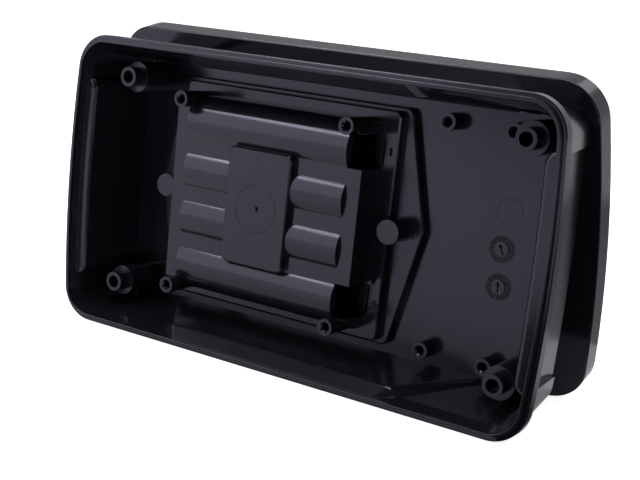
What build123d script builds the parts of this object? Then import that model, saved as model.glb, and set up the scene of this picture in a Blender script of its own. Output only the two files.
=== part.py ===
from build123d import *
import math
import os

# A two-part moulded enclosure, taken apart. The base half stands on one long edge, open side to -Y.
# The cover half stands behind it and leans on its back edge. Millimetres, +Z up.
# Each half is first built lying down: X along it, Y across it, Z out of its back or out of its rim.

# Mouldings in general
WALL = 2.5
EDGE_BLEND = 0.5
SEAT_GAP = 0.1

# Base: outline of the rim, with ends that bow outwards
RIM_HALF_LENGTH = 90.0
RIM_HALF_WIDTH = 49.5
RIM_CORNER_RADIUS = 11.8
END_BOW_RADIUS = 477.0

# Base: heights above the back face
RIM_TOP = 31.5
FLANGE_BOTTOM = 27.7
LIP_HEIGHT = 1.2
TUBE_TOP = 23.1
TUBE_STEP = 18.7
SMALL_BOSS_TOP = 8.3

# Base: rim and outer wall
RIM_FLAT = 1.3
RIM_WIDTH = 2.5
RIM_EDGE_RADIUS = 0.4
LIP_EDGE_RADIUS = 0.3
FLANGE_STEP = 1.4
WALL_DRAFT = 7.2
BACK_EDGE_RADIUS = 2.0
FLOOR_BLEND = 1.0

# Grips: panels of the wall that are set in from the rim, and show inside as shelves
GRIP_STEP_WALL = 1.5
SHELF_BLEND = 1.5
END_GRIP_HALF_TOP = 33.5
END_GRIP_FLARE = 1.4
END_GRIP_DEPTH_TOP = 5.7
END_GRIP_DEPTH_BACK = 7.3
END_GRIP_SAG = 0.7
END_SHELF_TOP = 29.4
END_SHELF_CORNER_RADIUS = 4.0
LONG_GRIP_HALF_TOP = 43.7
LONG_GRIP_FLARE = 20.8
LONG_GRIP_DEPTH_TOP = 3.8
LONG_GRIP_DEPTH_BACK = 5.8
LONG_GRIP_TOP = 26.7
LONG_SHELF_FOOT = 28.0
LONG_SHELF_SLOPE = 3.6
LONG_SHELF_CORNER_RADIUS = 4.0

# Case screws, one in each corner, with their heads sunk in the back
CASE_SCREW_X = RIM_HALF_LENGTH - 16.6
CASE_SCREW_Y = RIM_HALF_WIDTH - 13.45
TUBE_RADIUS = 3.35
TUBE_FOOT_RADIUS = 5.2
TUBE_HOLE_RADIUS = 2.15
HEAD_BORE_RADIUS = 3.6
HEAD_BORE_DEPTH = 15.0

# Small bosses for a circuit board
SMALL_BOSS_X = (41.4, 63.2)
SMALL_BOSS_Y = RIM_HALF_WIDTH - 13.4
SMALL_BOSS_RADIUS = 2.8
SMALL_BOSS_HOLE_RADIUS = 1.15
BOSS_MOUTH = 0.6

# Cells: four rows side by side, each under a round-backed hump
CELL_ROWS = 4
CELL_PITCH = 16.1
CELL_AXIS = 12.45
BAY_RADIUS = 7.5
BAY_SKIN = 1.5
HUMP_HALF_LENGTH = 31.4
CONTACT_POCKET_TOP = 17.6

# Battery block, which stands on a platform and a pointed plateau
BLOCK_X = -16.46
BLOCK_HALF_LENGTH = HUMP_HALF_LENGTH + 5.2
BLOCK_PLATE = 19.65
BLOCK_END_WALL = 2.2
PLATFORM_TOP = 8.6
PLATFORM_HALF_LENGTH = BLOCK_HALF_LENGTH + 5.5
PLATFORM_HALF_WIDTH = 37.1
PLATFORM_CORNER_RADIUS = 2.0
PLATEAU_TOP = 5.5
PLATEAU_CORNER_X = PLATFORM_HALF_LENGTH + 2.2
PLATEAU_HALF_LENGTH = PLATEAU_CORNER_X + 8.7
PLATEAU_HALF_WIDTH = 38.3

# Features on the block
CENTRE_PLATE_TOP = 22.2
CENTRE_PLATE_HALF_LENGTH = 12.2
CENTRE_PLATE_HALF_WIDTH = 19.2
GATE_NUB_RADIUS = 0.9
GATE_NUB_HEIGHT = 0.7
BLOCK_BOSS_X = BLOCK_HALF_LENGTH - 4.4
BLOCK_BOSS_Y = 31.7
BLOCK_BOSS_TOP = 24.5
BLOCK_BOSS_RADIUS = 2.7
BLOCK_BOSS_HOLE_RADIUS = 1.2
BLOCK_BOSS_HOLE_DEPTH = 5.5
NOTCH_START = HUMP_HALF_LENGTH - 0.2
NOTCH_INNER_Y = 18.4
NOTCH_OUTER_Y = 29.4
TAB_SLOT_X = BLOCK_HALF_LENGTH + 0.9
TAB_SLOT_WIDTH = 0.7
TAB_SLOT_DEPTH = 1.5
TAB_SLOT_INSET = 1.1
PAD_TOP = 10.0
PAD_LENGTH = 2.5
WEB_THICKNESS = 1.2

# Battery door and its two screws
DOOR_EDGE = 2.0
DOOR_GAP = 0.3
DOOR_THICKNESS = 3.0
DOOR_PLATE = 2.0
DOOR_RIM = 1.6
DOOR_RIB_THICKNESS = 1.5
DOOR_RIB_TOP = 5.8
DOOR_RIB_HALF_LENGTH = HUMP_HALF_LENGTH - 2.4
DOOR_SCREW_X = PLATEAU_HALF_LENGTH - 8.4
DOOR_BOSS_RADIUS = 3.9
DOOR_BOSS_TOP = 13.5
DOOR_BOSS_CAP = 2.5
DOOR_PAD_RADIUS = 5.0
SCREW_RADIUS = 1.45
SCREW_FIT = 0.05
SCREW_HOLE_CLEARANCE = 0.25
SCREW_HEAD_RADIUS = 2.9
SCREW_HEAD_THICKNESS = 1.6
SCREW_HEAD_CLEARANCE = 0.3
SCREW_HEAD_SINK = 0.1
SCREW_LENGTH = 8.8
CROSS_LENGTH = 3.2
CROSS_WIDTH = 0.7
CROSS_DEPTH = 1.0

# Cover: its skirt goes over the rim of the base
SKIRT_GAP_ENDS = 0.25
SKIRT_GAP_SIDES = 0.9
SKIRT_DEPTH = 8.1
COVER_EDGE_RADIUS = 0.6
COVER_SHIFT = -5.2
COVER_LEAN = 14.4
POST_RADIUS = 3.35
POST_HOLE_RADIUS = 1.3
POST_HOLE_DEPTH = 8.0
POST_GAP = 0.3


def bowed_outline(half_length, half_width, corner_radius):
    """Rounded rectangle whose two short ends are shallow arcs."""
    bow = END_BOW_RADIUS - math.sqrt(END_BOW_RADIUS**2 - half_width**2)
    corner_x = half_length - bow
    edges = [
        Line((-corner_x, half_width), (corner_x, half_width)),
        ThreePointArc((corner_x, half_width), (half_length, 0), (corner_x, -half_width)),
        Line((corner_x, -half_width), (-corner_x, -half_width)),
        ThreePointArc((-corner_x, -half_width), (-half_length, 0), (-corner_x, half_width)),
    ]
    face = make_face(edges)
    return fillet(face.vertices(), corner_radius)


def rim_section(height, inset):
    """The rim's outline at a height, moved inwards all round."""
    shape = bowed_outline(
        RIM_HALF_LENGTH - inset, RIM_HALF_WIDTH - inset, RIM_CORNER_RADIUS - inset
    )
    return Pos(0, 0, height) * shape


def wall_inset(height):
    """How far the drafted outer wall stands inside the rim."""
    return FLANGE_STEP + (FLANGE_BOTTOM - height) * math.tan(math.radians(WALL_DRAFT))


def block(x_range, y_range, z_range):
    """A box given by its limits along each axis."""
    sizes = [high - low for low, high in (x_range, y_range, z_range)]
    corner = Pos(x_range[0], y_range[0], z_range[0])
    return corner * Box(*sizes, align=(Align.MIN, Align.MIN, Align.MIN))


def post(x, y, low, high, radius):
    """An upright cylinder."""
    return Pos(x, y, low) * Cylinder(radius, high - low, align=(Align.CENTER, Align.CENTER, Align.MIN))


def both_signs(x_values, y_values):
    """Every place that the values give with plus and minus signs."""
    places = []
    for x in x_values:
        for y in y_values:
            places += [(x, y), (x, -y)]
    return places


def corner_places():
    return both_signs((CASE_SCREW_X, -CASE_SCREW_X), (CASE_SCREW_Y,))


def grip_section(height, face, half_width, sag, corner_radius):
    """One level of a grip at the +X side: all outside its face, between its two sides."""
    reach = face + 3 * RIM_CORNER_RADIUS
    start = (face, half_width)
    end = (face, -half_width)
    face_edge = SagittaArc(start, end, sag) if sag else Line(start, end)
    others = Polyline(end, (reach, -half_width), (reach, half_width), start)
    outline = make_face([face_edge, others])
    if corner_radius:
        outline = fillet(outline.vertices().sort_by(Axis.X)[:2], corner_radius)
    return Pos(0, 0, height) * outline


def both_sides(shape, turn):
    """The same shape on two opposite walls, turned about Z."""
    return [Rot(0, 0, angle) * shape for angle in (turn, turn + 180)]


def end_grips():
    """The set-in panels of the two ends, seen from outside."""
    low = RIM_HALF_LENGTH - END_GRIP_DEPTH_BACK
    high = RIM_HALF_LENGTH - END_GRIP_DEPTH_TOP
    levels = [
        grip_section(0, low, END_GRIP_HALF_TOP + END_GRIP_FLARE, END_GRIP_SAG, 0),
        grip_section(FLANGE_BOTTOM, high, END_GRIP_HALF_TOP, END_GRIP_SAG, 0),
    ]
    return both_sides(loft(levels, ruled=True), 0)


def end_shelves():
    """The same panels from inside: flat-topped shelves with rounded corners and edges."""
    low = RIM_HALF_LENGTH - END_GRIP_DEPTH_BACK - WALL
    high = RIM_HALF_LENGTH - END_GRIP_DEPTH_TOP - WALL
    half = END_GRIP_HALF_TOP + GRIP_STEP_WALL
    corner = END_SHELF_CORNER_RADIUS
    levels = [
        grip_section(0, low, half + END_GRIP_FLARE, END_GRIP_SAG, corner),
        grip_section(END_SHELF_TOP, high, half, END_GRIP_SAG, corner),
    ]
    shelf = loft(levels, ruled=True)
    shelf = fillet(shelf.faces().sort_by(Axis.Z)[-1].edges(), SHELF_BLEND)
    return both_sides(shelf, 0)


def long_grips():
    """The set-in panels of the two long walls, seen from outside."""
    low = RIM_HALF_WIDTH - LONG_GRIP_DEPTH_BACK
    high = RIM_HALF_WIDTH - LONG_GRIP_DEPTH_TOP
    levels = [
        grip_section(0, low, LONG_GRIP_HALF_TOP + LONG_GRIP_FLARE, 0, 0),
        grip_section(LONG_GRIP_TOP, high, LONG_GRIP_HALF_TOP, 0, 0),
    ]
    return both_sides(loft(levels, ruled=True), 90)


def long_shelves():
    """The same panels from inside: above a rounded edge they slope back to the rim."""
    low = RIM_HALF_WIDTH - LONG_GRIP_DEPTH_BACK - WALL
    high = RIM_HALF_WIDTH - LONG_GRIP_DEPTH_TOP - WALL
    half = LONG_GRIP_HALF_TOP + GRIP_STEP_WALL
    foot = LONG_SHELF_FOOT
    slope = LONG_SHELF_SLOPE
    corner = LONG_SHELF_CORNER_RADIUS
    levels = [
        grip_section(0, low, half + LONG_GRIP_FLARE, 0, corner),
        grip_section(foot, high, half, 0, corner),
        grip_section(foot + slope, high + slope, half - slope, 0, corner),
    ]
    shelf = loft(levels, ruled=True)
    near_foot = (foot - EDGE_BLEND, foot + EDGE_BLEND)
    foot_edges = shelf.edges().filter_by_position(Axis.Z, *near_foot)
    return both_sides(fillet(foot_edges, SHELF_BLEND), 90)


def cell_rows():
    """Where the axis of each row of cells lies across the block."""
    return [(row - (CELL_ROWS - 1) / 2) * CELL_PITCH for row in range(CELL_ROWS)]


def lying_cylinder(y, radius, half_length):
    """A cylinder along X through the axis of one row of cells."""
    return Pos(0, y, CELL_AXIS) * Rot(0, 90, 0) * Cylinder(radius, 2 * half_length)


def pointed_plate(grow, low, high):
    """The plateau's outline: long sides parallel, each end a very blunt point."""
    tip = PLATEAU_HALF_LENGTH + grow
    corner = PLATEAU_CORNER_X + grow
    side = PLATEAU_HALF_WIDTH + grow
    points = [(tip, 0), (corner, side), (-corner, side), (-tip, 0), (-corner, -side), (corner, -side)]
    face = make_face(Polyline(*points, close=True))
    rounded = fillet(face.vertices(), WALL)
    return Pos(0, 0, low) * extrude(rounded, high - low)


def screw_hole(x, y, low, high, radius):
    """A hole for a screw, with a chamfered mouth at its upper end."""
    mouth = Cone(radius, radius + BOSS_MOUTH, BOSS_MOUTH, align=(Align.CENTER, Align.CENTER, Align.MAX))
    return post(x, y, low, high, radius) + Pos(x, y, high) * mouth


def block_outside():
    """The battery block from the open side, centred on X = 0."""
    row_radius = BAY_RADIUS + BAY_SKIN
    edge_row = cell_rows()[-1]
    length = (-BLOCK_HALF_LENGTH, BLOCK_HALF_LENGTH)
    side = edge_row + row_radius
    plateau = pointed_plate(0, 0, PLATEAU_TOP)
    plateau = chamfer(plateau.faces().sort_by(Axis.Z)[-1].edges(), EDGE_BLEND)
    platform = extrude(
        RectangleRounded(2 * PLATFORM_HALF_LENGTH, 2 * PLATFORM_HALF_WIDTH, PLATFORM_CORNER_RADIUS),
        PLATFORM_TOP,
    )
    platform = chamfer(platform.faces().sort_by(Axis.Z)[-1].edges(), EDGE_BLEND)
    body = block(length, (-side, side), (0, CELL_AXIS))
    body += block(length, (-edge_row, edge_row), (CELL_AXIS, BLOCK_PLATE))
    for y in (-edge_row, edge_row):
        flank = lying_cylinder(y, row_radius, BLOCK_HALF_LENGTH)
        body += flank & block(length, (y - row_radius, y + row_radius), (CELL_AXIS, BLOCK_PLATE))
    for y in cell_rows():
        hump = lying_cylinder(y, row_radius, HUMP_HALF_LENGTH)
        upper = block(length, (y - row_radius, y + row_radius), (CELL_AXIS, CELL_AXIS + row_radius))
        body += hump & upper
    plate = extrude(
        RectangleRounded(
            2 * CENTRE_PLATE_HALF_LENGTH, 2 * CENTRE_PLATE_HALF_WIDTH, PLATFORM_CORNER_RADIUS
        ),
        CENTRE_PLATE_TOP,
    )
    plate = chamfer(plate.faces().sort_by(Axis.Z)[-1].edges(), EDGE_BLEND)
    nub = post(0, 0, CENTRE_PLATE_TOP, CENTRE_PLATE_TOP + GATE_NUB_HEIGHT, GATE_NUB_RADIUS)
    pad_end = BLOCK_HALF_LENGTH + PAD_LENGTH
    pad = block((0, pad_end), (-NOTCH_INNER_Y, NOTCH_INNER_Y), (0, PAD_TOP))
    web = block((0, DOOR_SCREW_X), (-WEB_THICKNESS / 2, WEB_THICKNESS / 2), (0, PAD_TOP))
    whole = plateau + platform + body + plate + nub + pad + web
    for x, y in both_signs((BLOCK_BOSS_X, -BLOCK_BOSS_X), (BLOCK_BOSS_Y,)):
        whole += post(x, y, 0, BLOCK_BOSS_TOP, BLOCK_BOSS_RADIUS)
    for x in (-DOOR_SCREW_X, DOOR_SCREW_X):
        whole += post(x, 0, 0, DOOR_BOSS_TOP, DOOR_BOSS_RADIUS)
    return whole


def block_hollows():
    """All that is open in the battery block: door pocket, bays, notches and holes."""
    bay_half_length = BLOCK_HALF_LENGTH - BLOCK_END_WALL
    bay_side = cell_rows()[-1] + BAY_RADIUS
    pocket_x = PLATFORM_HALF_LENGTH - WALL
    pocket_y = PLATFORM_HALF_WIDTH - WALL
    hollow = pointed_plate(-DOOR_EDGE, 0, DOOR_THICKNESS)
    hollow += block((-pocket_x, pocket_x), (-pocket_y, pocket_y), (0, PLATFORM_TOP - WALL))
    hollow += block((-bay_half_length, bay_half_length), (-bay_side, bay_side), (0, CELL_AXIS))
    for y in cell_rows():
        hollow += lying_cylinder(y, BAY_RADIUS, HUMP_HALF_LENGTH - BAY_SKIN)
    for start in (-bay_half_length, HUMP_HALF_LENGTH - BAY_SKIN):
        end = start + bay_half_length - HUMP_HALF_LENGTH + BAY_SKIN
        hollow += block((start, end), (-bay_side, bay_side), (CELL_AXIS, CONTACT_POCKET_TOP))
    for sign in (-1, 1):
        notch_y = sorted((sign * NOTCH_INNER_Y, sign * NOTCH_OUTER_Y))
        hollow += block((NOTCH_START, BLOCK_HALF_LENGTH), notch_y, (PLATFORM_TOP, BLOCK_PLATE))
        slot_y = (notch_y[0] + TAB_SLOT_INSET, notch_y[1] - TAB_SLOT_INSET)
        slot_x = (TAB_SLOT_X - TAB_SLOT_WIDTH / 2, TAB_SLOT_X + TAB_SLOT_WIDTH / 2)
        hollow += block(slot_x, slot_y, (PLATFORM_TOP - TAB_SLOT_DEPTH, PLATFORM_TOP))
    for x, y in both_signs((BLOCK_BOSS_X, -BLOCK_BOSS_X), (BLOCK_BOSS_Y,)):
        bottom = BLOCK_BOSS_TOP - BLOCK_BOSS_HOLE_DEPTH
        hollow += screw_hole(x, y, bottom, BLOCK_BOSS_TOP, BLOCK_BOSS_HOLE_RADIUS)
    for x in (-DOOR_SCREW_X, DOOR_SCREW_X):
        hollow += post(x, 0, 0, DOOR_BOSS_TOP - DOOR_BOSS_CAP, SCREW_RADIUS + SCREW_FIT)
    return hollow


def make_base():
    """The base half, back face down on Z = 0."""
    body = loft(
        [rim_section(0, wall_inset(0)), rim_section(FLANGE_BOTTOM, wall_inset(FLANGE_BOTTOM))],
        ruled=True,
    )
    body = fillet(body.faces().sort_by(Axis.Z)[0].edges(), BACK_EDGE_RADIUS)
    flange = extrude(rim_section(FLANGE_BOTTOM, 0), RIM_TOP - FLANGE_BOTTOM)
    body += fillet(flange.faces().sort_by(Axis.Z)[-1].edges(), RIM_EDGE_RADIUS)
    body += extrude(rim_section(RIM_TOP, RIM_FLAT), LIP_HEIGHT)
    for grip in end_grips() + long_grips():
        body -= grip

    cavity = loft(
        [
            rim_section(WALL, wall_inset(WALL) + WALL),
            rim_section(FLANGE_BOTTOM, wall_inset(FLANGE_BOTTOM) + WALL),
            rim_section(RIM_TOP, RIM_WIDTH),
        ],
        ruled=True,
    )
    cavity = fillet(cavity.faces().sort_by(Axis.Z)[0].edges(), FLOOR_BLEND)
    cavity += extrude(rim_section(RIM_TOP, RIM_WIDTH), LIP_HEIGHT)
    for shelf in end_shelves() + long_shelves():
        cavity -= shelf
    body -= cavity
    body = fillet(body.faces().sort_by(Axis.Z)[-1].edges(), LIP_EDGE_RADIUS)

    for x, y in corner_places():
        body += post(x, y, 0, TUBE_STEP, TUBE_FOOT_RADIUS)
        body += post(x, y, 0, TUBE_TOP, TUBE_RADIUS)
    for x, y in both_signs(SMALL_BOSS_X, (SMALL_BOSS_Y,)):
        body += post(x, y, 0, SMALL_BOSS_TOP, SMALL_BOSS_RADIUS)
    body += Pos(BLOCK_X, 0, 0) * block_outside()

    body -= Pos(BLOCK_X, 0, 0) * block_hollows()
    for x, y in corner_places():
        body -= post(x, y, 0, TUBE_TOP, TUBE_HOLE_RADIUS)
        body -= post(x, y, 0, HEAD_BORE_DEPTH, HEAD_BORE_RADIUS)
    for x, y in both_signs(SMALL_BOSS_X, (SMALL_BOSS_Y,)):
        body -= screw_hole(x, y, WALL, SMALL_BOSS_TOP, SMALL_BOSS_HOLE_RADIUS)
    return body


def make_door():
    """The battery door in its place in the base, outer face on Z = 0."""
    outer = -DOOR_EDGE - DOOR_GAP
    door = pointed_plate(outer, 0, DOOR_THICKNESS)
    door -= pointed_plate(outer - DOOR_RIM, DOOR_PLATE, DOOR_THICKNESS)
    places = cell_rows()
    for low, high in zip(places, places[1:]):
        middle = (low + high) / 2
        sides = (middle - DOOR_RIB_THICKNESS / 2, middle + DOOR_RIB_THICKNESS / 2)
        door += block((-DOOR_RIB_HALF_LENGTH, DOOR_RIB_HALF_LENGTH), sides, (0, DOOR_RIB_TOP))
    seat = SCREW_HEAD_SINK + SCREW_HEAD_THICKNESS
    for x in (-DOOR_SCREW_X, DOOR_SCREW_X):
        door += post(x, 0, 0, DOOR_THICKNESS, DOOR_PAD_RADIUS)
        door -= post(x, 0, 0, seat, SCREW_HEAD_RADIUS + SCREW_HEAD_CLEARANCE)
        door -= post(x, 0, 0, DOOR_THICKNESS, SCREW_RADIUS + SCREW_HOLE_CLEARANCE)
    return Pos(BLOCK_X, 0, 0) * door


def make_screw(side):
    """A door screw in its place, head sunk in the door."""
    seat = SCREW_HEAD_SINK + SCREW_HEAD_THICKNESS
    head = post(0, 0, SCREW_HEAD_SINK, seat, SCREW_HEAD_RADIUS)
    head = chamfer(head.faces().sort_by(Axis.Z)[0].edges(), EDGE_BLEND)
    screw = head + post(0, 0, seat, seat + SCREW_LENGTH, SCREW_RADIUS)
    for turn in (0, 90):
        slot = Box(CROSS_LENGTH, CROSS_WIDTH, 2 * CROSS_DEPTH)
        screw -= Pos(0, 0, SCREW_HEAD_SINK) * Rot(0, 0, turn) * slot
    return Pos(BLOCK_X + side * DOOR_SCREW_X, 0, 0) * screw


def cover_half_size():
    """Half length, half width and corner radius of the cover's skirt outside."""
    return (
        RIM_HALF_LENGTH + SKIRT_GAP_ENDS + WALL,
        RIM_HALF_WIDTH + SKIRT_GAP_SIDES + WALL,
        RIM_CORNER_RADIUS + WALL - SKIRT_GAP_SIDES,
    )


def make_cover():
    """The cover half, rim of its skirt on Z = 0 and its face up."""
    half_length, half_width, radius = cover_half_size()
    body = extrude(bowed_outline(half_length, half_width, radius), SKIRT_DEPTH)
    body = fillet(body.faces().sort_by(Axis.Z)[-1].edges(), COVER_EDGE_RADIUS)
    inside = bowed_outline(half_length - WALL, half_width - WALL, radius - WALL)
    ceiling = SKIRT_DEPTH - WALL
    body -= extrude(inside, ceiling)
    closed_gap = RIM_TOP + LIP_HEIGHT - TUBE_TOP
    post_end = ceiling - closed_gap + POST_GAP
    for x, y in corner_places():
        body += post(x, y, post_end, SKIRT_DEPTH - WALL, POST_RADIUS)
        body -= post(x, y, post_end, post_end + POST_HOLE_DEPTH, POST_HOLE_RADIUS)
    return body


def stand_base(shape):
    """From lying on its back to standing on its long edge, back face on Y = 0."""
    return Pos(0, 0, RIM_HALF_WIDTH) * Rot(90, 0, 0) * shape


def stand_cover(shape):
    """Stand the cover on its lower front edge, its face against the base's back edge."""
    lean = math.radians(COVER_LEAN)
    draft = math.radians(WALL_DRAFT)
    half_width = cover_half_size()[1]
    round_y = half_width - COVER_EDGE_RADIUS
    round_z = SKIRT_DEPTH - COVER_EDGE_RADIUS
    height = COVER_EDGE_RADIUS + math.cos(lean) * round_y + math.sin(lean) * round_z
    edge_y = -BACK_EDGE_RADIUS
    wall_z = RIM_HALF_WIDTH - wall_inset(0)
    edge_z = RIM_HALF_WIDTH + wall_z + BACK_EDGE_RADIUS * (math.tan(draft) - 1 / math.cos(draft))
    reach = SKIRT_DEPTH + BACK_EDGE_RADIUS + SEAT_GAP
    back = edge_y + (reach - (height - edge_z) * math.sin(lean)) / math.cos(lean)
    return Pos(COVER_SHIFT, back, height) * Rot(90 + COVER_LEAN, 0, 0) * shape


pieces = {
    "base_shell": stand_base(make_base()),
    "battery_door": stand_base(make_door()),
    "door_screw_left": stand_base(make_screw(-1)),
    "door_screw_right": stand_base(make_screw(1)),
    "cover_shell": stand_cover(make_cover()),
}

# The origin is the middle of the standing pair's footprint
extent = Compound(list(pieces.values())).bounding_box()
to_origin = Pos(-extent.center().X, -extent.center().Y, -extent.min.Z)

os.makedirs("parts", exist_ok=True)
for name, piece in pieces.items():
    export_step(to_origin * piece, f"parts/{name}.step")
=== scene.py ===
import math

import bmesh
import bpy
from mathutils import Matrix, Vector


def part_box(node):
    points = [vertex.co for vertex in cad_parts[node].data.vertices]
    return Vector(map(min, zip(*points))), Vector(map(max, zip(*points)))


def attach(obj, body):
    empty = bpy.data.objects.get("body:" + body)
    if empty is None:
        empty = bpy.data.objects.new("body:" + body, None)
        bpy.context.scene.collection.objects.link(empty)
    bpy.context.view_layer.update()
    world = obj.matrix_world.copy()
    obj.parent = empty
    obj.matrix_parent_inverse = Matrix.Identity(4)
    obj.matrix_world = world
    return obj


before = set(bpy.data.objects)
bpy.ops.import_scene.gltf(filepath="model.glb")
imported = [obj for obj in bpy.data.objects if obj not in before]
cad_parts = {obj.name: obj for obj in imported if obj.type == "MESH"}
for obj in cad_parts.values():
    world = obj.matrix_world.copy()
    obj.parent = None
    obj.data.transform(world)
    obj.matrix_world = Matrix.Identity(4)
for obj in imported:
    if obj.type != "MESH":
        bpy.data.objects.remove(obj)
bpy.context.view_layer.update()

# Camera. It stands a little above the housing and to its right, where the picture was taken from,
# and looks down into the open side of the base half.
MM = 0.001
base_low, base_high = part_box("base_shell")
BASE_X = (base_low.x + base_high.x) / 2
BASE_BACK_Y = base_high.y
BASE_Z = (base_low.z + base_high.z) / 2
CAMERA_FROM_BASE = Vector((201.0, -333.2, 65.9)) * MM
CAMERA_RIGHT = Vector((0.836, 0.539, 0.103)).normalized()
CAMERA_FORWARD = Vector((-0.515, 0.836, -0.191)).normalized()
SENSOR_WIDTH = 36.0
IMAGE_WIDTH = 640
FOCAL_PIXELS = 1189.4

camera_data = bpy.data.cameras.new("camera")
camera_data.sensor_width = SENSOR_WIDTH
camera_data.lens = FOCAL_PIXELS * SENSOR_WIDTH / IMAGE_WIDTH
camera = bpy.data.objects.new("camera", camera_data)
bpy.context.scene.collection.objects.link(camera)
camera_up = CAMERA_RIGHT.cross(CAMERA_FORWARD).normalized()
camera_right = CAMERA_FORWARD.cross(camera_up).normalized()
turn = Matrix((camera_right, camera_up, -CAMERA_FORWARD)).transposed()
camera.matrix_world = Matrix.Translation(
    Vector((BASE_X, BASE_BACK_Y, BASE_Z)) + CAMERA_FROM_BASE
) @ turn.to_4x4()
bpy.context.scene.camera = camera
bpy.context.scene.view_settings.view_transform = "Standard"

# Table and backdrop. One sheet of matt white card lies on a table and curves up behind the
# housing, as in a product photo, and takes a soft shadow. The camera sees it as white. Gloss sees
# only a little of that glow, because black plastic would look grey in a white room.
TABLE_REACH = 2.2
TABLE_FRONT = -1.9
BACKDROP_Y = 1.1
BACKDROP_HEIGHT = 1.8
BACKDROP_CURVE = 0.5
CURVE_STEPS = 24
CARD_COLOUR = "F4F4F4"
WHITE = "FFFFFF"
CAMERA_GLOW = 0.9
GLOSS_GLOW = 0.16


def from_hex(code):
    """An sRGB hex colour as linear RGBA."""
    channels = [int(code[i : i + 2], 16) / 255 for i in (0, 2, 4)]
    linear = [c / 12.92 if c <= 0.04045 else ((c + 0.055) / 1.055) ** 2.4 for c in channels]
    return (*linear, 1.0)


def add_node(tree, kind, settings=None, links=None, **properties):
    """Add a node, set its properties and inputs, and link its inputs to other nodes' outputs."""
    node = tree.nodes.new(kind)
    for name, value in properties.items():
        setattr(node, name, value)
    for name, value in (settings or {}).items():
        node.inputs[name].default_value = value
    for name, source in (links or {}).items():
        tree.links.new(source, node.inputs[name])
    return node


def new_material(name):
    """An empty node material and its tree."""
    material = bpy.data.materials.new(name)
    material.use_nodes = True
    material.node_tree.nodes.clear()
    return material, material.node_tree


card_line = [(TABLE_FRONT, 0.0), (BACKDROP_Y - BACKDROP_CURVE, 0.0)]
for step in range(1, CURVE_STEPS + 1):
    angle = math.pi / 2 * step / CURVE_STEPS
    card_line.append(
        (
            BACKDROP_Y - BACKDROP_CURVE + BACKDROP_CURVE * math.sin(angle),
            BACKDROP_CURVE - BACKDROP_CURVE * math.cos(angle),
        )
    )
card_line.append((BACKDROP_Y, BACKDROP_HEIGHT))
card_points = [(x, y, z) for y, z in card_line for x in (-TABLE_REACH, TABLE_REACH)]
card_faces = [(2 * i, 2 * i + 1, 2 * i + 3, 2 * i + 2) for i in range(len(card_line) - 1)]
card_mesh = bpy.data.meshes.new("white_card")
card_mesh.from_pydata(card_points, [], card_faces)
card_mesh.shade_smooth()
card = bpy.data.objects.new("white_card", card_mesh)
bpy.context.scene.collection.objects.link(card)

matt_card, tree = new_material("matt_white_card")
paper = add_node(tree, "ShaderNodeBsdfDiffuse", {"Color": from_hex(CARD_COLOUR)})
path = add_node(tree, "ShaderNodeLightPath")
to_camera = add_node(
    tree,
    "ShaderNodeMath",
    {1: CAMERA_GLOW},
    {0: path.outputs["Is Camera Ray"]},
    operation="MULTIPLY",
)
to_gloss = add_node(
    tree,
    "ShaderNodeMath",
    {1: GLOSS_GLOW},
    {0: path.outputs["Is Glossy Ray"]},
    operation="MULTIPLY",
)
strength = add_node(
    tree,
    "ShaderNodeMath",
    links={0: to_camera.outputs[0], 1: to_gloss.outputs[0]},
    operation="ADD",
)
glow = add_node(
    tree,
    "ShaderNodeEmission",
    {"Color": from_hex(WHITE)},
    {"Strength": strength.outputs[0]},
)
both = add_node(tree, "ShaderNodeAddShader", links={0: paper.outputs[0], 1: glow.outputs[0]})
add_node(tree, "ShaderNodeOutputMaterial", links={"Surface": both.outputs[0]})
card_mesh.materials.append(matt_card)

# Studio. A tall softbox at the front left, with a hot strip along its top, draws the cells' round
# humps. The lamp overhead and the pale back of the room draw the edges and the outer walls, and
# the room at the right is dark.
HOUSING_CENTRE = Vector((0.0, -0.02, 0.06))
ROOM_COLOUR = "EEECFF"
DARK_ROOM = 0.06
CEILING = 0.25
CEILING_START = 0.8
CEILING_FULL = 0.95
BACK_WALL = 0.8
BACK_WALL_FULL = 0.5
# Each lamp's name, azimuth, elevation, distance, width, height and brightness.
LAMPS = (
    ("front_softbox", -42, 17, 1.0, 0.7, 0.66, 1.7),
    ("front_strip", -42, 41, 1.0, 0.6, 0.09, 10.0),
    ("left_softbox", -122, 55, 1.1, 0.34, 0.34, 8.0),
    ("top_softbox", -5, 75, 1.1, 0.7, 0.4, 4.4),
    ("back_softbox", 150, 45, 1.0, 0.7, 0.35, 1.0),
    ("right_strip", 70, 0, 0.9, 0.7, 0.08, 3.0),
)

world = bpy.data.worlds.new("studio")
world.use_nodes = True
tree = world.node_tree
tree.nodes.clear()
direction = add_node(tree, "ShaderNodeTexCoord")
axes = add_node(tree, "ShaderNodeSeparateXYZ", links={0: direction.outputs["Generated"]})
ceiling = add_node(
    tree,
    "ShaderNodeMapRange",
    {
        "From Min": CEILING_START,
        "From Max": CEILING_FULL,
        "To Min": DARK_ROOM,
        "To Max": CEILING,
    },
    {"Value": axes.outputs["Z"]},
    interpolation_type="SMOOTHSTEP",
)
back = add_node(
    tree,
    "ShaderNodeMapRange",
    {"From Min": 0.0, "From Max": BACK_WALL_FULL, "To Min": 0.0, "To Max": BACK_WALL},
    {"Value": axes.outputs["Y"]},
    interpolation_type="SMOOTHSTEP",
)
level = add_node(
    tree,
    "ShaderNodeMath",
    links={0: ceiling.outputs[0], 1: back.outputs[0]},
    operation="MAXIMUM",
)
room = add_node(
    tree,
    "ShaderNodeBackground",
    {"Color": from_hex(ROOM_COLOUR)},
    {"Strength": level.outputs[0]},
)
white = add_node(tree, "ShaderNodeBackground", {"Color": from_hex(WHITE), "Strength": 1.0})
path = add_node(tree, "ShaderNodeLightPath")
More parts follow.
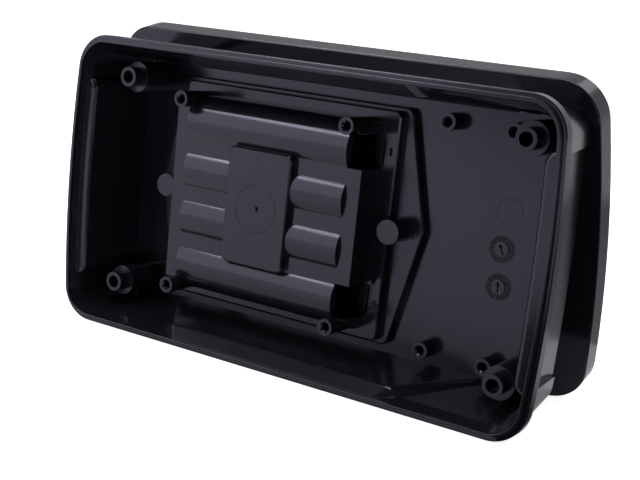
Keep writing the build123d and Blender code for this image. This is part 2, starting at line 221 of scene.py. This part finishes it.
shown = add_node(
    tree,
    "ShaderNodeMixShader",
    links={"Fac": path.outputs["Is Camera Ray"], 1: room.outputs[0], 2: white.outputs[0]},
)
add_node(tree, "ShaderNodeOutputWorld", links={"Surface": shown.outputs[0]})
bpy.context.scene.world = world


def softbox(name, azimuth, elevation, distance, width, height, brightness):
    """A lamp of even brightness, turned to the housing. Azimuth 0 is the front, 90 the right."""
    side = math.radians(azimuth)
    up = math.radians(elevation)
    data = bpy.data.lights.new(name, "AREA")
    data.shape = "RECTANGLE"
    data.size = width
    data.size_y = height
    data.energy = brightness * math.pi * width * height
    lamp = bpy.data.objects.new(name, data)
    bpy.context.scene.collection.objects.link(lamp)
    outward = Vector(
        (math.sin(side) * math.cos(up), -math.cos(side) * math.cos(up), math.sin(up))
    )
    lamp.location = HOUSING_CENTRE + outward * distance
    lamp.rotation_euler = (-outward).to_track_quat("-Z", "Y").to_euler()


for lamp in LAMPS:
    softbox(*lamp)

# Cards. A black card lies on the table at the right front and a grey one at the right back, both
# out of the picture. Only the gloss of the plastic sees them: they keep the faces that are turned
# to the right dark, and the outer walls from looking pale.
CARD_LIFT = 0.4 * MM
CARDS = (
    (
        "black_card",
        "202022",
        ((0.03, -0.14), (0.14, 0.08), (0.40, 0.08), (0.40, -0.40), (0.03, -0.40)),
    ),
    (
        "grey_card",
        "A8A8AA",
        ((0.096, 0.09), (0.096, 1.0), (1.6, 1.0), (1.6, 0.09)),
    ),
)
for name, colour, corners in CARDS:
    sheet_mesh = bpy.data.meshes.new(name)
    sheet_mesh.from_pydata(
        [(x, y, CARD_LIFT) for x, y in corners], [], [tuple(range(len(corners)))]
    )
    sheet = bpy.data.objects.new(name, sheet_mesh)
    bpy.context.scene.collection.objects.link(sheet)
    sheet.visible_camera = False
    sheet.visible_diffuse = False
    sheet.visible_shadow = False
    matt, tree = new_material("matt_" + name)
    paper = add_node(tree, "ShaderNodeBsdfDiffuse", {"Color": from_hex(colour)})
    add_node(tree, "ShaderNodeOutputMaterial", links={"Surface": paper.outputs[0]})
    sheet_mesh.materials.append(matt)

# Base half. One moulding in black ABS with the fine even grain of a spark-eroded mould: the
# plastic is satin, its reflections are soft, and its colour leans to blue. Real corners are never
# quite sharp, so the shading rounds each edge a little.
ABS_COLOUR = "17171C"
ABS_TINT = "E6E3FF"
ABS_IOR = 1.53
ABS_SHINE = 0.5
# An eroded grain is really finer than 0.1 mm. Each grain here is drawn coarser, so that it shows.
BASE_GRAIN = 0.35 * MM
BASE_GRAIN_HEIGHT = 0.015 * MM
GRAIN_STRENGTH = 0.3
BASE_FLOW = 14 * MM
NOISE_LOW = 0.3
NOISE_HIGH = 0.7
GLOSS_CHANGE = 0.02
BASE_ROUGHNESS = 0.18
EDGE_ROUNDING = 0.1 * MM
ROUNDING_SAMPLES = 6


def black_abs(name, grain, grain_height, flow, roughness, rounding=EDGE_ROUNDING, shine=ABS_SHINE):
    """Moulded black ABS: a fine grain, and slight changes in gloss where the melt flowed."""
    material, tree = new_material(name)
    where = add_node(tree, "ShaderNodeTexCoord")
    bumps = add_node(
        tree,
        "ShaderNodeTexNoise",
        {"Scale": 1 / grain, "Detail": 2.0},
        {"Vector": where.outputs["Object"]},
    )
    rounded = add_node(
        tree,
        "ShaderNodeBevel",
        {"Radius": rounding},
        samples=ROUNDING_SAMPLES,
    )
    bump = add_node(
        tree,
        "ShaderNodeBump",
        {"Strength": GRAIN_STRENGTH, "Distance": grain_height},
        {"Height": bumps.outputs["Fac"], "Normal": rounded.outputs[0]},
    )
    flow_marks = add_node(
        tree,
        "ShaderNodeTexNoise",
        {"Scale": 1 / flow, "Detail": 3.0},
        {"Vector": where.outputs["Object"]},
    )
    gloss = add_node(
        tree,
        "ShaderNodeMapRange",
        {
            "From Min": NOISE_LOW,
            "From Max": NOISE_HIGH,
            "To Min": roughness - GLOSS_CHANGE,
            "To Max": roughness + GLOSS_CHANGE,
        },
        {"Value": flow_marks.outputs["Fac"]},
    )
    skin = add_node(
        tree,
        "ShaderNodeBsdfPrincipled",
        {
            "Base Color": from_hex(ABS_COLOUR),
            "IOR": ABS_IOR,
            "Specular IOR Level": shine,
            "Specular Tint": from_hex(ABS_TINT),
        },
        {"Roughness": gloss.outputs[0], "Normal": bump.outputs["Normal"]},
    )
    add_node(tree, "ShaderNodeOutputMaterial", links={"Surface": skin.outputs[0]})
    return material


def dress(node, material):
    """Give a CAD node's slots a material."""
    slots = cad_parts[node].data.materials
    for index in range(len(slots)):
        slots[index] = material


eroded_abs = black_abs(
    "eroded_black_abs", BASE_GRAIN, BASE_GRAIN_HEIGHT, BASE_FLOW, BASE_ROUGHNESS
)
dress("base_shell", eroded_abs)

# Gate mark. A thin ring round the gate nub on the centre plate, moulded in one with the base half
# and barely proud of it. Sizes of the marks are in mm on the base half.
GATE_CENTRE = (-16.46, 0.0, 22.2)
GATE_RADIUS = 7.8
GATE_RING_WIDTH = 0.5
GATE_RING_HEIGHT = 0.12
RING_SEGMENTS = 72
FOOT_SINK = 0.02
WELD = 0.001 * MM


def on_base(u, v, h):
    """A point of the base half: mm right of its centre, above it, and in from its back."""
    return Vector((BASE_X + u * MM, BASE_BACK_Y - h * MM, BASE_Z + v * MM))


def revolve(mesh, centre, outline):
    """Turn an outline of (radius, height) round an axis on the base's floor, foot just in it."""
    u, v, h = centre
    h -= FOOT_SINK
    rings = []
    for radius, height in outline:
        if radius == 0:
            rings.append([mesh.verts.new(on_base(u, v, h + height))])
            continue
        ring = []
        for step in range(RING_SEGMENTS):
            angle = 2 * math.pi * step / RING_SEGMENTS
            place = (u + radius * math.cos(angle), v + radius * math.sin(angle), h + height)
            ring.append(mesh.verts.new(on_base(*place)))
        rings.append(ring)
    for lower, upper in zip(rings, rings[1:]):
        for step in range(RING_SEGMENTS):
            after = (step + 1) % RING_SEGMENTS
            if len(upper) == 1:
                mesh.faces.new((lower[step], lower[after], upper[0]))
            elif len(lower) == 1:
                mesh.faces.new((lower[0], upper[after], upper[step]))
            else:
                mesh.faces.new((lower[step], lower[after], upper[after], upper[step]))


def add_ridge(mesh, centre, radius, width, height):
    """A round ridge with sloped sides."""
    edge = width / 4
    outline = (
        (radius + width / 2, 0.0),
        (radius + width / 2 - edge, height),
        (radius - width / 2 + edge, height),
        (radius - width / 2, 0.0),
        (radius + width / 2, 0.0),
    )
    revolve(mesh, centre, outline)


def finish_piece(name, mesh, *materials):
    """Turn a bmesh into a piece of the base half."""
    bmesh.ops.remove_doubles(mesh, verts=mesh.verts, dist=WELD)
    bmesh.ops.recalc_face_normals(mesh, faces=mesh.faces)
    data = bpy.data.meshes.new(name)
    mesh.to_mesh(data)
    mesh.free()
    for material in materials:
        data.materials.append(material)
    piece = bpy.data.objects.new(name, data)
    bpy.context.scene.collection.objects.link(piece)
    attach(piece, "root")


mesh = bmesh.new()
add_ridge(mesh, GATE_CENTRE, GATE_RADIUS, GATE_RING_WIDTH, GATE_RING_HEIGHT)
finish_piece("gate_mark", mesh, eroded_abs)

# Ejector marks. The mould's pins leave faint round marks on the floor at the left, and one small
# point at each tip of the plateau.
EJECTOR_PLACES = ((-78.8, 1.7, 2.5), (-75.5, -11.4, 2.5))
EJECTOR_RADIUS = 2.5
EJECTOR_RING_WIDTH = 0.3
EJECTOR_RING_HEIGHT = 0.06
POINT_PLACES = ((33.7, -0.3, 5.5), (-66.4, -0.3, 5.5))
POINT_OUTLINE = ((0.0, 0.0), (0.7, 0.0), (0.5, 0.2), (0.0, 0.25))

mesh = bmesh.new()
for centre in EJECTOR_PLACES:
    add_ridge(mesh, centre, EJECTOR_RADIUS, EJECTOR_RING_WIDTH, EJECTOR_RING_HEIGHT)
for centre in POINT_PLACES:
    revolve(mesh, centre, POINT_OUTLINE)
finish_piece("ejector_marks", mesh, eroded_abs)

# Date dials. Two round mould inserts stamp a ring of plain numbers and an arrow that points to
# one of them. Their ground looks duller than the floor round them. The arrow's recess has painted
# shade: its finish has almost no shine, so it looks darker, as if it were deeper than it is.
DIAL_RADIUS = 4.1
DIAL_RIM_WIDTH = 0.3
DIAL_RIM_HEIGHT = 0.12
GROUND_INSET = 0.1
GROUND_HEIGHT = 0.06
ROTOR_RADIUS = 2.3
ROTOR_HEIGHT = 0.35
NUMBER_RADIUS = 3.2
NUMBER_SIZE = 1.2
NUMBER_HEIGHT = 0.3
MONTHS = 12
ARROW_LENGTH = 3.4
ARROW_SHAFT_HALF = 0.22
ARROW_HEAD_HALF = 0.65
ARROW_HEAD_LENGTH = 1.1
ARROW_FLOOR = 0.04
DISC_SLOT = 1
PAINTED_SHADE_SLOT = 2
DIALS = (
    ("date_dial_upper", (62.0, 0.0, 2.5), 24),
    ("date_dial_lower", (62.5, -11.7, 2.5), 4),
)
INSERT_GRAIN = 0.2 * MM
INSERT_GRAIN_HEIGHT = 0.03 * MM
INSERT_ROUNDING = 0.01 * MM
INSERT_ROUGHNESS = 0.4
INSERT_SHINE = 0.36
PAINTED_SHADE_ROUGHNESS = 0.7
PAINTED_SHADE_SHINE = 0.05
dial_abs = black_abs(
    "dull_insert_abs",
    INSERT_GRAIN,
    INSERT_GRAIN_HEIGHT,
    BASE_FLOW,
    INSERT_ROUGHNESS,
    INSERT_ROUNDING,
    INSERT_SHINE,
)
# Painted shade: the same black ABS with almost no shine, so that sunk marks look darker than their
# shallow shape makes them.
painted_shade_abs = black_abs(
    "painted_shade_black_abs",
    INSERT_GRAIN,
    INSERT_GRAIN_HEIGHT,
    BASE_FLOW,
    PAINTED_SHADE_ROUGHNESS,
    INSERT_ROUNDING,
    PAINTED_SHADE_SHINE,
)


def add_number(mesh, centre, text, angle, height):
    """A raised number on a dial, with its foot towards the dial's centre."""
    letters = bpy.data.curves.new("number", "FONT")
    letters.body = text
    letters.size = NUMBER_SIZE
    letters.extrude = height / 2
    letters.align_x = "CENTER"
    letters.align_y = "CENTER"
    letters.resolution_u = 2
    holder = bpy.data.objects.new("number", letters)
    bpy.context.scene.collection.objects.link(holder)
    bpy.context.view_layer.update()
    solid = bpy.data.meshes.new_from_object(holder)
    bpy.data.objects.remove(holder)
    u, v, h = centre
    cos = math.cos(math.radians(angle))
    sin = math.sin(math.radians(angle))
    for point in solid.vertices:
        x = point.co.x
        y = point.co.y + NUMBER_RADIUS
        place = (u + x * cos - y * sin, v + x * sin + y * cos, h + height / 2 + point.co.z)
        point.co = on_base(*place)
    mesh.from_mesh(solid)
    bpy.data.meshes.remove(solid)


def add_rotor(mesh, centre, outline, angle, height):
    """A raised disc with a sunk shape in its face. The shape is turned by an angle in degrees."""
    u, v, h = centre
    cos = math.cos(math.radians(angle))
    sin = math.sin(math.radians(angle))
    turned = [(x * cos - y * sin, x * sin + y * cos) for x, y in outline]
    sunk = [mesh.verts.new(on_base(u + x, v + y, h + ARROW_FLOOR)) for x, y in turned]
    brim = [mesh.verts.new(on_base(u + x, v + y, h + height)) for x, y in turned]
    rim = []
    foot = []
    for step in range(RING_SEGMENTS):
        around = 2 * math.pi * step / RING_SEGMENTS
        x = ROTOR_RADIUS * math.cos(around)
        y = ROTOR_RADIUS * math.sin(around)
        rim.append(mesh.verts.new(on_base(u + x, v + y, h + height)))
        foot.append(mesh.verts.new(on_base(u + x, v + y, h - FOOT_SINK)))
    mesh.faces.new(foot)
    # The floor and walls of the sunk shape take the painted shade finish.
    mesh.faces.new(sunk).material_index = PAINTED_SHADE_SLOT
    edges = []
    for low, high in ((sunk, brim), (foot, rim)):
        for i in range(len(high)):
            j = (i + 1) % len(high)
            side = mesh.faces.new((low[i], low[j], high[j], high[i]))
            side.material_index = PAINTED_SHADE_SLOT if low is sunk else DISC_SLOT
            edges.append(mesh.edges.get((high[i], high[j])))
    face = bmesh.ops.triangle_fill(mesh, use_beauty=True, edges=edges)
    for part in face["geom"]:
        if isinstance(part, bmesh.types.BMFace):
            part.material_index = DISC_SLOT


arrow_half = ARROW_LENGTH / 2
arrow_neck = arrow_half - ARROW_HEAD_LENGTH
arrow = (
    (-ARROW_SHAFT_HALF, -arrow_half),
    (ARROW_SHAFT_HALF, -arrow_half),
    (ARROW_SHAFT_HALF, arrow_neck),
    (ARROW_HEAD_HALF, arrow_neck),
    (0.0, arrow_half),
    (-ARROW_HEAD_HALF, arrow_neck),
    (-ARROW_SHAFT_HALF, arrow_neck),
)
ground_outer = DIAL_RADIUS - GROUND_INSET
ground_inner = ROTOR_RADIUS + GROUND_INSET
dial_ground = (
    (ground_outer, 0.0),
    (ground_outer, GROUND_HEIGHT),
    (ground_inner, GROUND_HEIGHT),
    (ground_inner, 0.0),
    (ground_outer, 0.0),
)
for name, centre, angle in DIALS:
    mesh = bmesh.new()
    add_ridge(mesh, centre, DIAL_RADIUS, DIAL_RIM_WIDTH, DIAL_RIM_HEIGHT)
    revolve(mesh, centre, dial_ground)
    add_rotor(mesh, centre, arrow, angle, ROTOR_HEIGHT)
    for month in range(1, MONTHS + 1):
        add_number(mesh, centre, str(month), -360 / MONTHS * month, NUMBER_HEIGHT)
    finish_piece(name, mesh, dial_abs, eroded_abs, painted_shade_abs)

# Battery marks. A small plus and minus sit on the platform, at the ends of the cells, moulded in
# one with it. The plus has the duller finish of the dial inserts. The minus is drawn raised, with
# painted shade in place of the shadow of a sunk slot.
PLUS_CENTRE = (23.7, -24.8, 8.6)
MINUS_CENTRE = (23.5, 24.2, 8.6)
MARK_LENGTH = 2.6
MARK_WIDTH = 0.6
MARK_HEIGHT = 0.3


def add_plate(mesh, centre, outline, angle, height):
    """A raised flat shape with upright sides. Its outline is turned by an angle in degrees."""
    u, v, h = centre
    cos = math.cos(math.radians(angle))
    sin = math.sin(math.radians(angle))
    turned = [(x * cos - y * sin, x * sin + y * cos) for x, y in outline]
    foot = [mesh.verts.new(on_base(u + x, v + y, h - FOOT_SINK)) for x, y in turned]
    head = [mesh.verts.new(on_base(u + x, v + y, h + height)) for x, y in turned]
    mesh.faces.new(foot)
    mesh.faces.new(head)
    for i in range(len(outline)):
        j = (i + 1) % len(outline)
        mesh.faces.new((foot[i], foot[j], head[j], head[i]))


long_half = MARK_LENGTH / 2
thin_half = MARK_WIDTH / 2
bar = (
    (-long_half, -thin_half),
    (long_half, -thin_half),
    (long_half, thin_half),
    (-long_half, thin_half),
)
cross = (
    (-long_half, -thin_half),
    (-thin_half, -thin_half),
    (-thin_half, -long_half),
    (thin_half, -long_half),
    (thin_half, -thin_half),
    (long_half, -thin_half),
    (long_half, thin_half),
    (thin_half, thin_half),
    (thin_half, long_half),
    (-thin_half, long_half),
    (-thin_half, thin_half),
    (-long_half, thin_half),
)
mesh = bmesh.new()
# The minus takes the painted shade finish, standing in for the shadow in its sunk slot.
add_plate(mesh, MINUS_CENTRE, bar, 90, MARK_HEIGHT)
finish_piece("minus_mark", mesh, painted_shade_abs)
mesh = bmesh.new()
add_plate(mesh, PLUS_CENTRE, cross, 0, MARK_HEIGHT)
finish_piece("plus_mark", mesh, dial_abs)

# Plain stamp. A third round insert leaves a rim and a flat ground on the floor, with nothing on
# it, in the base half's own finish.
STAMP_CENTRE = (63.0, 11.8, 2.5)
STAMP_RIM_HEIGHT = 0.08
STAMP_GROUND_HEIGHT = 0.05
stamp_ground = (
    (0.0, 0.0),
    (ground_outer, 0.0),
    (ground_outer, STAMP_GROUND_HEIGHT),
    (0.0, STAMP_GROUND_HEIGHT),
)
mesh = bmesh.new()
add_ridge(mesh, STAMP_CENTRE, DIAL_RADIUS, DIAL_RIM_WIDTH, STAMP_RIM_HEIGHT)
revolve(mesh, STAMP_CENTRE, stamp_ground)
finish_piece("plain_stamp", mesh, eroded_abs)

# Battery door. The same black ABS from its own mould, with a coarser grain where fingers press,
# so it looks duller than the base half.
DOOR_GRAIN = 0.5 * MM
DOOR_GRAIN_HEIGHT = 0.04 * MM
DOOR_ROUGHNESS = 0.4
dress(
    "battery_door",
    black_abs("grained_black_abs", DOOR_GRAIN, DOOR_GRAIN_HEIGHT, BASE_FLOW, DOOR_ROUGHNESS),
)

# Door screws. Zinc-plated steel: pale bluish metal with fine turning lines and a soft shine. They
# are screwed into the base half through the door.
ZINC_COLOUR = "B9BCC2"
TURNING_LINES = 0.12 * MM
TURNING_DEPTH = 0.01 * MM
TURNING_STRENGTH = 0.25
ZINC_SMOOTH = 0.26
ZINC_WORN = 0.4
zinc, tree = new_material("zinc_plated_steel")
where = add_node(tree, "ShaderNodeTexCoord")
lines = add_node(
    tree,
    "ShaderNodeTexNoise",
    {"Scale": 1 / TURNING_LINES, "Detail": 3.0},
    {"Vector": where.outputs["Object"]},
)
worn = add_node(
    tree,
    "ShaderNodeMapRange",
    {
        "From Min": NOISE_LOW,
        "From Max": NOISE_HIGH,
        "To Min": ZINC_SMOOTH,
        "To Max": ZINC_WORN,
    },
    {"Value": lines.outputs["Fac"]},
)
bump = add_node(
    tree,
    "ShaderNodeBump",
    {"Strength": TURNING_STRENGTH, "Distance": TURNING_DEPTH},
    {"Height": lines.outputs["Fac"]},
)
plating = add_node(
    tree,
    "ShaderNodeBsdfPrincipled",
    {"Base Color": from_hex(ZINC_COLOUR), "Metallic": 1.0},
    {"Roughness": worn.outputs[0], "Normal": bump.outputs["Normal"]},
)
add_node(tree, "ShaderNodeOutputMaterial", links={"Surface": plating.outputs[0]})
dress("door_screw_left", zinc)
dress("door_screw_right", zinc)

# Cover half. It is black ABS from a polished mould, so it mirrors the studio almost sharply, and
# its inner face is nearly black.
COVER_GRAIN = 0.6 * MM
COVER_GRAIN_HEIGHT = 0.004 * MM
COVER_FLOW = 20 * MM
COVER_ROUGHNESS = 0.14
dress(
    "cover_shell",
    black_abs(
        "polished_black_abs", COVER_GRAIN, COVER_GRAIN_HEIGHT, COVER_FLOW, COVER_ROUGHNESS
    ),
)
